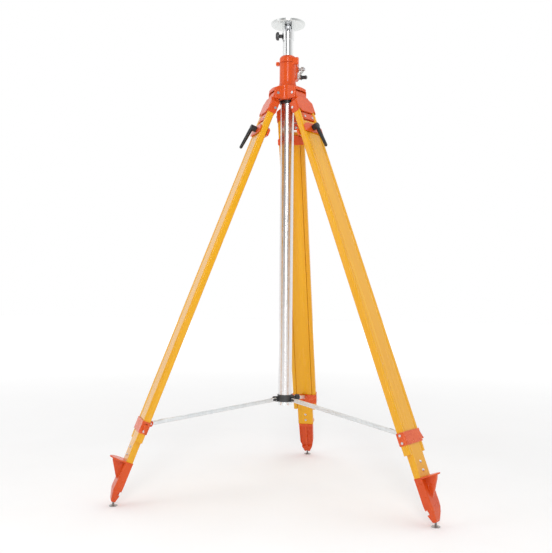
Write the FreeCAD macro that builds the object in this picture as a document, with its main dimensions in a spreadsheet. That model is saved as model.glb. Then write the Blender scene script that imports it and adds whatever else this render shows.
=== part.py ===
"""Elevating instrument tripod: a geared column on three sliding legs with a sliding spreader.

Units are millimetres. +Z is up, the floor is z = 0 and the column's axis is x = y = 0.
The rear leg points along +Y and the two front legs stand 60 degrees either side of -Y.
A leg is designed in its own frame: the origin is on its hinge pin, x runs across the leg,
y points in towards the column and z runs up the leg. leg_place() stands it in the tripod.
"""
import FreeCAD, Part
import math
import os
import re

import Sketcher

V = FreeCAD.Vector

DIMENSIONS = {
    # stance
    "leg_angle": 21.72, "hinge_radius": 50.0, "hinge_height": 1482.0,
    # outer tube and what closes it
    "tube_radius": 25.0, "tube_wall": 3.0, "tube_bottom": 338.0, "tube_top": 1514.0,
    "end_cap_radius": 26.5, "end_cap_bottom": 322.0, "end_cap_rim": 8.0, "end_cap_plug": 30.0,
    "collar_radius": 30.0, "collar_foot_radius": 27.0, "collar_bottom": 1449.0, "collar_length": 21.0,
    # head casting
    "ring_radius": 36.5, "ring_bottom": 1470.0, "ring_top": 1493.0, "neck_radius": 34.0,
    "head_top": 1519.0, "lug_reach": 65.0, "lug_bottom": 1461.0, "cheek_width": 73.0,
    "crown_step": 1.2, "lug_round": 8.0, "valley_round": 24.0,
    "pocket_width": 61.0, "pocket_top": 1497.0, "lip_bottom": 1493.0, "lip_depth": 7.0,
    "pin_radius": 5.0, "pin_length": 71.0,
    # gear housing
    "housing_radius": 31.0, "housing_bore": 20.6, "housing_top": 1603.0, "housing_flare": 34.0,
    "flare_height": 12.0, "gearbox_left": 18.0, "gearbox_right": 34.0, "gearbox_front": 8.0,
    "gearbox_back": 46.0, "gearbox_bottom": 1546.0, "gearbox_top": 1618.0,
    "ear_left": 18.0, "ear_right": 44.0, "ear_front": -24.0, "ear_back": -11.0,
    "ear_bottom": 1597.0, "ear_top": 1622.0, "screw_head_radius": 2.8,
    "guide_bush_radius": 24.0, "guide_bush_length": 26.0,
    # column clamp
    "cap_radius": 31.5, "cap_mouth": 23.0, "cap_height": 26.0, "cap_bottom": 1606.4, "cap_dome": 15.0,
    "ring_gap": 0.4, "clamp_ring_radius": 29.5, "clamp_ring_height": 2.6, "tab_reach": 45.0,
    "tab_width": 11.0, "tab_height": 14.0,
    # column
    "column_radius": 20.0, "column_wall": 3.0, "column_bottom": 500.0, "column_top": 1716.0,
    "column_play": 0.1, "shoe_radius": 21.85, "shoe_length": 32.0,
    "rack_width": 10.8, "rack_seat": 12.9, "rack_bottom": 690.0, "rack_teeth": 208.0,
    # rack and pinion
    "gear_module": 1.5, "pinion_teeth": 14.0, "pinion_width": 9.0, "pinion_height": 1590.0,
    "pitch_line": 18.0, "mesh_play": 0.12, "shaft_radius": 5.0, "bush_radius": 7.5, "bush_play": 0.03,
    "bush_length": 10.0, "shaft_left": -17.0, "shaft_right": 57.0,
    # crank
    "crank_length": 31.0, "crank_root_radius": 9.0, "crank_tip_radius": 8.0, "crank_plate": 7.0,
    "crank_root_left": 46.5, "crank_root_right": 56.0, "crank_tip_left": 37.8, "crank_screw_radius": 5.5,
    "grip_axle_radius": 3.0, "grip_flange_radius": 10.0, "grip_radius": 7.2, "grip_length": 24.0,
    # instrument head
    "head_turn": 10.0, "yoke_radius": 23.0, "yoke_bottom": 1693.0, "yoke_floor": 1717.0,
    "yoke_window": 1721.0, "yoke_window_width": 27.0, "plate_bottom": 1748.0, "plate_thickness": 10.0,
    "plate_radius": 64.0, "plate_hole_radius": 8.4, "side_hole_radius": 4.0,
    "screw_radius": 7.9375, "screw_stand": 13.0, "screw_shank": 7.2, "thread_start": 1.5,
    "wheel_radius": 17.0, "wheel_height": 11.0,
    "head_knob_radius": 15.5, "head_knob_height": 1709.0, "head_knob_reach": 47.0,
    # leg
    "leg_width": 101.0, "rail_width": 17.2, "rail_depth": 26.0, "rail_round": 6.5,
    "rail_top": -52.0, "rail_end": -1356.0, "plank_width": 66.0, "plank_depth": 23.0,
    "plank_top": -124.0, "plank_end": -1432.0, "knuckle_radius": 12.0, "knuckle_width": 60.0,
    "bracket_width": 104.0, "bracket_depth": 34.0, "bracket_end": -86.0, "shoulder": -27.0,
    "shoulder_slope": 16.0, "arch_radius": 8.6,
    "spacer_top": -90.0, "spacer_end": -116.0, "spacer_depth": 25.0,
    "band_top": -1281.0, "band_end": -1324.0, "band_wall": 2.2,
    "strut_joint_drop": -1287.5, "strut_joint_depth": 23.2,
    # sliding clamp
    "clamp_top": -135.0, "clamp_end": -172.0, "clamp_corner": 14.0, "clamp_width": 104.0,
    "clamp_outer": 5.0, "clamp_inner": 8.0, "clamp_gap": 0.5, "stud_radius": 4.0, "stud_height": -154.0,
    "lever_hub_radius": 11.0, "lever_hub": 23.0, "lever_drop": 86.0, "lever_lean": 9.0,
    "elbow_drop": 13.0, "elbow_out": 3.0,
    # foot
    "foot_width": 62.0, "pedal_reach": 67.0, "pedal_thickness": 5.0, "foot_end": -1578.0,
    "tongue_length": 58.0, "tongue_width": 58.0, "tongue_depth": 10.0,
    "bolt_1": -1384.5, "bolt_2": -1412.5, "bolt_radius": 3.0, "dome_radius": 5.2, "dome_height": 3.2,
    "pad_radius": 14.5, "pad_thickness": 3.5, "pad_ring": 629.5, "ball_height": 20.0,
    "ball_radius": 5.5, "ball_play": 0.06, "pad_stem": 3.6,
    # spreader
    "hub_bottom": 334.0, "hub_height": 26.0, "hub_radius": 28.3, "hub_play": 0.1, "tongue_reach": 49.0,
    "hub_tongue": 5.4, "tongue_rise": 20.0, "hub_rivet_radius": 2.0, "strut_inner_radius": 40.0,
    "strut_inner_height": 342.0, "strut_width": 12.0, "strut_height": 15.0,
    "hub_knob_radius": 11.0, "hub_knob_reach": 58.0, "hub_knob_height": 347.0,
    "trunnion_radius": 4.0, "trunnion_length": 21.0,
}

LEGS = {"left": -60.0, "right": 60.0, "rear": 180.0}
KNOB_SIDE = 120.0

doc = FreeCAD.newDocument("elevating_tripod")
sheet = doc.addObject("Spreadsheet::Sheet", "Dims")
for line_number, (alias, number) in enumerate(DIMENSIONS.items(), start=1):
    sheet.set("A%d" % line_number, alias)
    sheet.set("B%d" % line_number, str(number))
    sheet.setAlias("B%d" % line_number, alias)
doc.recompute()

pieces = {}


def expr(formula):
    """Write a formula in sheet names the way the document's expressions want it."""
    def named(match):
        word = match.group(0)
        return "Dims." + word if word in DIMENSIONS else word
    return re.sub(r"[a-z_][a-z_0-9]*", named, str(formula))


def dim(alias):
    """The number in the sheet's cell with this alias."""
    return float(sheet.get(alias))


def piece(obj, label, placement=None):
    """Register a finished sub-part under the name of its file."""
    obj.Label = label
    if placement is not None:
        obj.Placement = placement
    pieces[label] = obj
    return obj


# ---------------------------------------------------------------- primitives bound to the sheet
def primitive(kind, sizes, base, rotation=None):
    obj = doc.addObject("Part::" + kind, kind)
    if rotation is not None:
        obj.Placement = FreeCAD.Placement(V(), rotation)
    for name, formula in sizes.items():
        obj.setExpression(name, expr(formula))
    for axis, formula in zip("xyz", base):
        obj.setExpression("Placement.Base." + axis, expr(formula))
    return obj


def block(x0, x1, y0, y1, z0, z1):
    """A box between three pairs of formulas."""
    sizes = {
        "Length": "(%s) - (%s)" % (x1, x0),
        "Width": "(%s) - (%s)" % (y1, y0),
        "Height": "(%s) - (%s)" % (z1, z0),
    }
    return primitive("Box", sizes, (x0, y0, z0))


def axis_turn(axis):
    if axis == "x":
        return FreeCAD.Rotation(V(0, 1, 0), 90)
    if axis == "y":
        return FreeCAD.Rotation(V(1, 0, 0), -90)
    return FreeCAD.Rotation()


def axis_base(axis, start, centre):
    order = {"x": (start, centre[0], centre[1]), "y": (centre[0], start, centre[1])}
    return order.get(axis, (centre[0], centre[1], start))


def rod(axis, radius, start, end, centre=("0", "0")):
    """A cylinder along an axis between two formulas; centre holds the other two coordinates."""
    sizes = {"Radius": radius, "Height": "(%s) - (%s)" % (end, start)}
    return primitive("Cylinder", sizes, axis_base(axis, start, centre), axis_turn(axis))


def taper(axis, radius_1, radius_2, start, end, centre=("0", "0")):
    sizes = {"Radius1": radius_1, "Radius2": radius_2, "Height": "(%s) - (%s)" % (end, start)}
    return primitive("Cone", sizes, axis_base(axis, start, centre), axis_turn(axis))


def fuse(*shapes):
    obj = doc.addObject("Part::MultiFuse", "Fuse")
    obj.Shapes = list(shapes)
    obj.Refine = True
    return obj


def cut(base, *tools):
    obj = doc.addObject("Part::Cut", "Cut")
    obj.Base = base
    obj.Tool = tools[0] if len(tools) == 1 else fuse(*tools)
    obj.Refine = True
    return obj


def common(*shapes):
    obj = doc.addObject("Part::MultiCommon", "Common")
    obj.Shapes = list(shapes)
    obj.Refine = True
    return obj


def group(*shapes):
    """Identical separate solids in one sub-part."""
    obj = doc.addObject("Part::Compound", "Group")
    obj.Links = list(shapes)
    return obj


def turned(obj, degrees):
    """The same shape turned about the column's axis."""
    copy = doc.addObject("Part::Compound", "Turned")
    copy.Links = [obj]
    copy.Placement = about_z(degrees)
    return copy


def fillet(base, radius, chosen):
    """Round the edges of a primitive or boolean that chosen(edge) picks."""
    doc.recompute()
    obj = doc.addObject("Part::Fillet", "Fillet")
    obj.Base = base
    obj.Edges = [(i, radius, radius) for i, edge in enumerate(base.Shape.Edges, start=1) if chosen(edge)]
    return obj


def padded(plane, outline, length, radius=None, chosen=None):
    """A PartDesign pad, centred on one of the origin planes.

    outline is a closed run of corner formulas; each corner is tied to the sheet by two distances.
    """
    body = doc.addObject("PartDesign::Body", "Body")
    sketch = body.newObject("Sketcher::SketchObject", "Outline")
    support = [feature for feature in body.Origin.OriginFeatures if feature.Role == plane][0]
    sketch.AttachmentSupport = [(support, "")]
    sketch.MapMode = "FlatFace"
    count = len(outline)
    corners = [V(math.cos(i * math.tau / count), math.sin(i * math.tau / count), 0) for i in range(count)]
    for i in range(count):
        sketch.addGeometry(Part.LineSegment(corners[i], corners[(i + 1) % count]), False)
    for i in range(count):
        sketch.addConstraint(Sketcher.Constraint("Coincident", i, 2, (i + 1) % count, 1))
    for i, corner in enumerate(outline):
        for kind, formula, start in zip(("DistanceX", "DistanceY"), corner, corners[i]):
            index = sketch.addConstraint(Sketcher.Constraint(kind, -1, 1, i, 1, start))
            sketch.setExpression("Constraints[%d]" % index, expr(formula))
    pad = body.newObject("PartDesign::Pad", "Pad")
    pad.Profile = sketch
    pad.SideType = "Symmetric"
    pad.setExpression("Length", expr(length))
    if radius is not None:
        doc.recompute()
        names = ["Edge%d" % i for i, edge in enumerate(pad.Shape.Edges, start=1) if chosen(edge)]
        rounding = body.newObject("PartDesign::Fillet", "Rounding")
        rounding.Base = (pad, names)
        rounding.setExpression("Radius", expr(radius))
    return body


def along(axis):
    """Choose the straight edges that run along an axis."""
    def chosen(edge):
        if not isinstance(edge.Curve, Part.Line):
            return False
        return abs(abs(edge.tangentAt(edge.FirstParameter).dot(axis)) - 1) < 1e-6
    return chosen


def built(shape, label, placement=None):
    """A sub-part whose shape comes from the sheet's numbers in code."""
    obj = built_solid(shape)
    own = obj.Placement
    return piece(obj, label, own if placement is None else placement * own)


def built_solid(shape):
    obj = doc.addObject("Part::Feature", "Shape")
    obj.Shape = shape
    return obj


def revolved(profile, base=V(0, 0, 0), axis=V(0, 0, 1)):
    """Turn an outline of (radius, height) pairs about an axis through base."""
    points = [V(r, 0, h) for r, h in profile]
    face = Part.Face(Part.makePolygon(points + points[:1]))
    solid = face.revolve(V(0, 0, 0), V(0, 0, 1), 360)
    solid.Placement = FreeCAD.Placement(base, FreeCAD.Rotation(V(0, 0, 1), axis))
    return solid


# ---------------------------------------------------------------- frames
def about_z(degrees):
    return FreeCAD.Placement(V(), FreeCAD.Rotation(V(0, 0, 1), degrees))


def leg_place(azimuth):
    """The leg's frame in the tripod."""
    stand = FreeCAD.Placement(V(0, -dim("hinge_radius"), dim("hinge_height")), FreeCAD.Rotation())
    lean = FreeCAD.Placement(V(), FreeCAD.Rotation(V(1, 0, 0), -dim("leg_angle")))
    return about_z(azimuth) * stand * lean


# ---------------------------------------------------------------- head and outer tube
def make_head():
    tube = cut(rod("z", "tube_radius", "tube_bottom", "tube_top"),
               rod("z", "tube_radius - tube_wall", "tube_bottom - 1", "tube_top + 1"))
    piece(tube, "outer_tube")

    cap = fuse(rod("z", "end_cap_radius", "end_cap_bottom", "end_cap_bottom + end_cap_rim"),
               rod("z", "tube_radius", "end_cap_bottom + end_cap_rim", "tube_bottom"),
               rod("z", "tube_radius - tube_wall", "tube_bottom", "end_cap_bottom + end_cap_plug"))
    hollow = rod("z", "tube_radius - 2 * tube_wall", "end_cap_bottom + end_cap_rim", "end_cap_bottom + 40")
    piece(cut(cap, hollow), "tube_end_cap")

    collar = cut(taper("z", "collar_foot_radius", "collar_radius", "collar_bottom",
                       "collar_bottom + collar_length"),
                 rod("z", "tube_radius", "collar_bottom - 1", "collar_bottom + collar_length + 1"))
    piece(collar, "tube_collar")

    crown = fuse(rod("z", "ring_radius", "ring_bottom", "ring_top"),
                 rod("z", "neck_radius", "ring_top", "head_top"))
    lower = lug_star("cheek_width / 2", "lug_reach", "lug_bottom", "ring_top")
    upper = common(lug_star("cheek_width / 2 - crown_step", "lug_reach - crown_step", "ring_top", "head_top"),
                   taper("z", "lug_reach + 26", "neck_radius", "ring_top", "head_top"))
    hollows = [rod("z", "tube_radius", "lug_bottom - 9", "tube_top"),
               rod("z", "collar_radius + 0.3", "lug_bottom - 9", "ring_bottom"),
               rod("z", "housing_bore", "tube_top - 1", "head_top + 1")]
    pins = []
    for azimuth in LEGS.values():
        pocket = block("-pocket_width / 2", "pocket_width / 2", "-lug_reach - 20", "-ring_radius",
                       "lug_bottom - 5", "lip_bottom")
        roof = block("-pocket_width / 2", "pocket_width / 2", "-lug_reach + lip_depth", "-ring_radius",
                     "lip_bottom - 1", "pocket_top")
        bore = rod("x", "pin_radius", "-pin_length", "pin_length", ("-hinge_radius", "hinge_height"))
        hollows.append(turned(fuse(pocket, roof, bore), azimuth))
        pin = rod("x", "pin_radius", "-pin_length / 2", "pin_length / 2", ("-hinge_radius", "hinge_height"))
        pins.append(turned(pin, azimuth))
    piece(cut(fuse(crown, lower, upper), *hollows), "head_casting")
    piece(group(*pins), "hinge_pins")


def lug_star(half, reach, low, high):
    """Three lugs that meet at the column, their corners and the valleys between them rounded."""
    lugs = [turned(block("-(%s)" % half, half, "-(%s)" % reach, "0", low, high), azimuth)
            for azimuth in LEGS.values()]
    star = fuse(*lugs)
    doc.recompute()
    obj = doc.addObject("Part::Fillet", "Rounded")
    obj.Base = star
    rounds = []
    for number, edge in enumerate(star.Shape.Edges, start=1):
        if along(V(0, 0, 1))(edge):
            middle = edge.CenterOfMass
            outer = math.hypot(middle.x, middle.y) > dim("lug_reach")
            radius = dim("lug_round") if outer else dim("valley_round")
            rounds.append((number, radius, radius))
    obj.Edges = rounds
    return obj


# ---------------------------------------------------------------- gear housing and column clamp
def make_housing():
    pinion_y = pinion_offset()
    gear_centre = (pinion_y, "pinion_height")
    barrel = fuse(rod("z", "housing_radius", "head_top", "housing_top"),
                  taper("z", "housing_flare", "housing_radius", "head_top", "head_top + flare_height"))
    box = fillet(block("-gearbox_left", "gearbox_right", "gearbox_front", "gearbox_back",
                       "gearbox_bottom", "gearbox_top"), 5.0, rear_or_upright)
    ear = fillet(block("ear_left", "ear_right", "ear_front", "ear_back", "ear_bottom", "ear_top"), 3.0,
                 lambda edge: edge.CenterOfMass.x > dim("ear_right") - 1)
    boss = rod("x", "bush_radius + 4", "gearbox_right - 1", "gearbox_right + 4", gear_centre)
    column_bore = rod("z", "housing_bore", "head_top - 1", "gearbox_top + 9")
    bush_bore = rod("z", "guide_bush_radius", "head_top - 1", "head_top + guide_bush_length")
    cap_space = rod("z", "cap_radius + ring_gap", "housing_top", "gearbox_top + 9")
    gear_space = rod("x", "gear_module * (pinion_teeth / 2 + 1) + 0.8", "-pinion_width / 2 - 0.6",
                     "pinion_width / 2 + 0.6", gear_centre)
    face = "pinion_width / 2 + 0.6"
    bushes = [rod("x", "bush_radius", face, face + " + bush_length", gear_centre),
              rod("x", "bush_radius", "-(%s) - bush_length" % face, "-(%s)" % face, gear_centre)]
    shaft_way = rod("x", "shaft_radius + 0.4", "shaft_left - 0.6", "gearbox_right + 9", gear_centre)
    screw_ways = [rod("x", "1.6", "gearbox_right - 10", "gearbox_right + 2", spot) for spot in cover_screws()]
    housing = cut(fuse(barrel, box, ear, boss), column_bore, bush_bore, cap_space, gear_space, shaft_way,
                  *bushes, *screw_ways)
    piece(housing, "gear_housing")

    rings = []
    for start in ("pinion_width / 2 + 0.6", "-pinion_width / 2 - 0.6 - bush_length"):
        ring = cut(rod("x", "bush_radius", start, start + " + bush_length", gear_centre),
                   rod("x", "shaft_radius + bush_play", start + " - 1", start + " + bush_length + 1",
                       gear_centre))
        rings.append(ring)
    piece(group(*rings), "pinion_bushes")

    bush = cut(rod("z", "guide_bush_radius", "head_top", "head_top + guide_bush_length"),
               rod("z", "column_radius + column_play", "head_top - 1", "head_top + guide_bush_length + 1"))
    piece(bush, "guide_bush")

    screws = []
    for spot in cover_screws():
        head = rod("x", "screw_head_radius", "gearbox_right", "gearbox_right + 2", spot)
        shank = rod("x", "1.6", "gearbox_right - 9.5", "gearbox_right", spot)
        socket = rod("x", "1.2", "gearbox_right + 0.8", "gearbox_right + 3", spot)
        screws.append(cut(fuse(head, shank), socket))
    piece(group(*screws), "housing_screws")

    built(cap_shape(), "top_cap")

    ring = rod("z", "clamp_ring_radius", "housing_top + ring_gap",
               "housing_top + ring_gap + clamp_ring_height")
    neck = block("-cap_radius - 4", "-clamp_ring_radius + 3", "-tab_width / 2", "tab_width / 2",
                 "housing_top + ring_gap", "housing_top + ring_gap + clamp_ring_height")
    tab = fillet(block("-tab_reach", "-cap_radius - 1", "-tab_width / 2", "tab_width / 2",
                       "housing_top - 5", "housing_top - 5 + tab_height"), 3.0,
                 lambda edge: edge.CenterOfMass.x < -dim("tab_reach") + 1)
    hole = rod("z", "column_radius + 0.5", "housing_top - 9", "housing_top + 19")
    piece(cut(fuse(ring, neck, tab), hole), "clamp_ring")


def cover_screws():
    """Places of the gear cover's screws on the housing's right face."""
    spots = []
    for y in ("gearbox_front + 21", "gearbox_back - 6"):
        spots.append((y, "gearbox_bottom + 7"))
    spots.append(("gearbox_back - 6", "gearbox_top - 7"))
    return spots


def rear_or_upright(edge):
    middle = edge.CenterOfMass
    upright = along(V(0, 0, 1))(edge) and middle.y > dim("gearbox_front") + 1
    return upright or abs(middle.z - dim("gearbox_bottom")) < 0.1 and middle.y > dim("gearbox_front") + 1


def cap_shape():
    """The domed cap that holds the column's wiper and presses on the clamp ring."""
    low = dim("cap_bottom")
    top = low + dim("cap_height")
    outer = dim("cap_radius")
    mouth = dim("cap_mouth")
    bore = dim("column_radius") + 0.3
    rise = dim("cap_dome")
    lip = 1.5
    side = Part.LineSegment(V(outer, 0, low), V(outer, 0, top - rise))
    middle = V(mouth + (outer - mouth) * 0.76, 0, top - rise + (rise - lip) * 0.66)
    dome = Part.Arc(V(outer, 0, top - rise), middle, V(mouth + 2, 0, top - lip))
    rim = Part.LineSegment(V(mouth + 2, 0, top - lip), V(mouth, 0, top))
    lid = Part.LineSegment(V(mouth, 0, top), V(bore, 0, top))
    inside = Part.LineSegment(V(bore, 0, top), V(bore, 0, low))
    floor = Part.LineSegment(V(bore, 0, low), V(outer, 0, low))
    wire = Part.Wire([line.toShape() for line in (side, dome, rim, lid, inside, floor)])
    return Part.Face(wire).revolve(V(0, 0, 0), V(0, 0, 1), 360)


# ---------------------------------------------------------------- column, rack and pinion
def pinion_offset():
    """How far the pinion's axis stands behind the column's axis."""
    return "pitch_line + gear_module * pinion_teeth / 2 + mesh_play"


def make_column():
    outer = rod("z", "column_radius", "column_bottom", "column_top")
    inner = rod("z", "column_radius - column_wall", "column_bottom - 1", "column_top + 1")
    seat = common(block("-8", "8", "rack_seat - 4", "column_radius", "column_bottom", "column_top"),
                  rod("z", "column_radius - 1", "column_bottom", "column_top"))
    groove = block("-rack_width / 2", "rack_width / 2", "rack_seat", "column_radius + 1",
                   "rack_bottom - 10", "rack_bottom + rack_teeth * 3.14159265 * gear_module + 10")
    piece(cut(fuse(cut(outer, inner), seat), groove), "inner_column")

    shoe = cut(rod("z", "shoe_radius", "column_bottom - 6", "column_bottom + shoe_length"),
               rod("z", "column_radius", "column_bottom", "column_bottom + shoe_length + 1"),
               rod("z", "column_radius - column_wall - 3", "column_bottom - 9", "column_bottom + 1"))
    piece(shoe, "column_shoe")

    built(rack_shape(), "column_rack")
    built(pinion_shape(), "pinion_shaft")


def rack_shape():
    """A straight rack; a gap faces the pinion's axis at rest."""
    module = dim("gear_module")
    pitch = math.pi * module
    line = dim("pitch_line")
    tip = line + 0.8 * module
    root = line - 1.25 * module
    slope = math.tan(math.radians(20))
    count = int(dim("rack_teeth"))
    middle = dim("pinion_height")
    first = middle - (int((middle - dim("rack_bottom")) / pitch) + 0.5) * pitch
    points = [V(0, dim("rack_seat"), first - pitch / 2)]
    for i in range(count):
        centre = first + i * pitch
        for depth, side in ((root, -1), (tip, -1), (tip, 1), (root, 1)):
            half = pitch / 4 - (depth - line) * slope
            points.append(V(0, depth, centre + side * half))
    points.append(V(0, dim("rack_seat"), first + (count - 0.5) * pitch))
    face = Part.Face(Part.makePolygon(points + points[:1]))
    solid = face.extrude(V(dim("rack_width"), 0, 0))
    solid.translate(V(-dim("rack_width") / 2, 0, 0))
    return solid


def pinion_shape():
    """The pinion cut on its shaft, with involute flanks."""
    module = dim("gear_module")
    teeth = int(dim("pinion_teeth"))
    pitch_radius = module * teeth / 2
    base_radius = pitch_radius * math.cos(math.radians(20))
    tip_radius = pitch_radius + module
    root_radius = pitch_radius - 1.1 * module
    backlash = 0.10
    half_tooth = math.pi / (2 * teeth) - backlash / (2 * pitch_radius)
    half_tooth += involute_angle(pitch_radius, base_radius)
    steps = 5
    points = []
    for tooth in range(teeth):
        centre = -math.pi / 2 + tooth * math.tau / teeth
        flank = [(root_radius, half_tooth)]
        for i in range(steps):
            radius = base_radius + (tip_radius - base_radius) * i / (steps - 1)
            flank.append((radius, half_tooth - involute_angle(radius, base_radius)))
        for radius, angle in flank:
            points.append(V(0, radius * math.cos(centre - angle), radius * math.sin(centre - angle)))
        for radius, angle in reversed(flank):
            points.append(V(0, radius * math.cos(centre + angle), radius * math.sin(centre + angle)))
    turned_points = [V(0, -point.z, point.y) for point in points]
    face = Part.Face(Part.makePolygon(turned_points + turned_points[:1]))
    width = dim("pinion_width")
    gear = face.extrude(V(width, 0, 0))
    gear.translate(V(-width / 2, 0, 0))
    left = dim("shaft_left")
    shaft = Part.makeCylinder(dim("shaft_radius"), dim("shaft_right") - left, V(left, 0, 0), V(1, 0, 0))
    solid = gear.fuse(shaft).removeSplitter()
    solid = Part.Solid(solid.Solids[0]) if solid.ShapeType == "Compound" else solid
    solid.translate(V(0, pinion_axis_y(), dim("pinion_height")))
    return solid


def pinion_axis_y():
    return dim("pitch_line") + dim("gear_module") * dim("pinion_teeth") / 2 + dim("mesh_play")


def involute_angle(radius, base_radius):
    """The polar angle an involute has turned through where it reaches this radius."""
    pressure = math.acos(min(1.0, base_radius / radius))
    return math.tan(pressure) - pressure


# ---------------------------------------------------------------- crank
def make_crank():
    y = pinion_axis_y()
    root_z = dim("pinion_height")
    tip_z = root_z - dim("crank_length")
    root_left = dim("crank_root_left")
    root_right = dim("crank_root_right")
    tip_left = dim("crank_tip_left")
    plate = dim("crank_plate")
    across = V(1, 0, 0)
    root = Part.makeCylinder(dim("crank_root_radius"), root_right - root_left,
                             V(root_left, y, root_z), across)
    tip = Part.makeCylinder(dim("crank_tip_radius"), plate, V(tip_left, y, tip_z), across)
    root_half = dim("crank_root_radius") - 1.5
    tip_half = dim("crank_tip_radius") - 1.0
    clear = dim("grip_flange_radius") + 1
    widths = ((root_z, root_half, root_left), (root_z - 9, root_half, root_left),
              (tip_z + clear, tip_half, tip_left), (tip_z, tip_half, tip_left))
    wires = []
    for z, half, left in widths:
        right = left + plate
        corners = [V(left, y - half, z), V(right, y - half, z), V(right, y + half, z), V(left, y + half, z)]
        wires.append(Part.makePolygon(corners + corners[:1]))
    web = Part.makeLoft(wires, True, True)
    bore = Part.makeCylinder(dim("shaft_radius"), 40, V(root_left - 5, y, root_z), across)
    length = dim("grip_length")
    axle = dim("grip_axle_radius")
    stem = revolved([(0, 0), (axle, 0), (axle, length + 0.4),
                     (axle + 2.0, length + 0.4), (axle + 1.2, length + 2.2),
                     (0, length + 2.6)], V(tip_left + plate - 0.5, y, tip_z), across)
    built(root.fuse([tip, web, stem]).removeSplitter().cut(bore), "crank_arm")

    head_start = dim("shaft_right")
    washer = Part.makeCylinder(dim("crank_screw_radius") + 1.5, 1.2, V(head_start, y, root_z), across)
    head = Part.makeCylinder(dim("crank_screw_radius"), 3.8, V(head_start + 1.2, y, root_z), across)
    rim = [edge for edge in head.Edges if edge.CenterOfMass.x > head_start + 4.5]
    built(washer.fuse(head.makeFillet(1.2, rim)).removeSplitter(), "crank_screw")

    start = tip_left + plate
    flange = dim("grip_flange_radius")
    body = dim("grip_radius")
    bore_radius = axle + 0.05
    profile = [(bore_radius, 0.5), (flange - 1, 0.5), (flange, 1.5), (flange, 3.0), (flange - 1.5, 4.5),
               (body, 6.0), (body - 0.6, length * 0.55), (body + 0.4, length - 3), (body - 1.4, length - 0.4),
               (bore_radius, length - 0.4)]
    built(revolved(profile, V(start, y, tip_z), across), "crank_grip")


# ---------------------------------------------------------------- instrument head
def make_instrument_head():
    place = about_z(dim("head_turn"))
    socket = cut(rod("z", "yoke_radius", "yoke_bottom", "plate_bottom"),
                 rod("z", "column_radius + 0.05", "yoke_bottom - 1", "yoke_floor"),
                 rod("z", "yoke_radius - 4", "yoke_window", "plate_bottom + 1"),
                 rod("z", "5", "yoke_floor - 1", "yoke_window + 1"),
                 block("-yoke_window_width / 2", "yoke_window_width / 2", "-40", "40",
                       "yoke_window", "plate_bottom + 1"),
                 rod("x", "5", "-40", "0", ("0", "head_knob_height")))
    piece(socket, "head_yoke", place)

    disc = built_solid(plate_shape())
    bored = cut(disc, rod("z", "plate_hole_radius", "plate_bottom - 1", "plate_bottom + 30"),
                rod("z", "side_hole_radius", "plate_bottom - 1", "plate_bottom + 30", ("-25.5", "-43")))
    piece(bored, "head_plate", place)

    low = dim("plate_bottom")
    wheel_low = low - 15.5
    wheel_high = wheel_low + dim("wheel_height")
    screw = dim("screw_radius")
    wheel = dim("wheel_radius")
    shank = dim("screw_shank")
    face = low + dim("plate_thickness")
    thread_low = face + dim("thread_start")
    top = face + dim("screw_stand")
    profile = [(0, wheel_low - 8), (4, wheel_low - 8), (6, wheel_low),
               (wheel - 1, wheel_low), (wheel, wheel_low + 1), (wheel, wheel_high - 1),
               (wheel - 1, wheel_high), (screw + 3, wheel_high), (screw + 3, low - 0.4),
               (shank, low - 0.4), (shank, thread_low), (screw, thread_low),
               (screw, top - 1.5), (screw - 1.5, top), (0, top)]
    built(revolved(profile), "fixing_screw", place)

    reach = dim("head_knob_reach")
    start = dim("yoke_radius")
    big = dim("head_knob_radius")
    stem_end = dim("column_radius") + 0.4 - start
    cap_start = reach - 13 - start
    cap_end = reach - start
    profile = [(0, stem_end), (4, stem_end), (4, 0.4), (7, 0.4), (6.5, cap_start - 2), (8, cap_start),
               (big - 1.5, cap_start), (big, cap_start + 2), (big, cap_end - 5), (big - 4, cap_end - 1.5),
               (big - 9, cap_end), (0, cap_end)]
    built(revolved(profile, V(-start, 0, dim("head_knob_height")), V(-1, 0, 0)), "head_knob", place)


def plate_shape():
    """The turned instrument plate with its softened rim and a shallow recess below."""
    low = dim("plate_bottom")
    high = low + dim("plate_thickness")
    rim = dim("plate_radius")
    profile = [(0, low), (rim - 2, low), (rim, low + 2), (rim, high - 1), (rim - 1, high), (0, high)]
    return revolved(profile)


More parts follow.
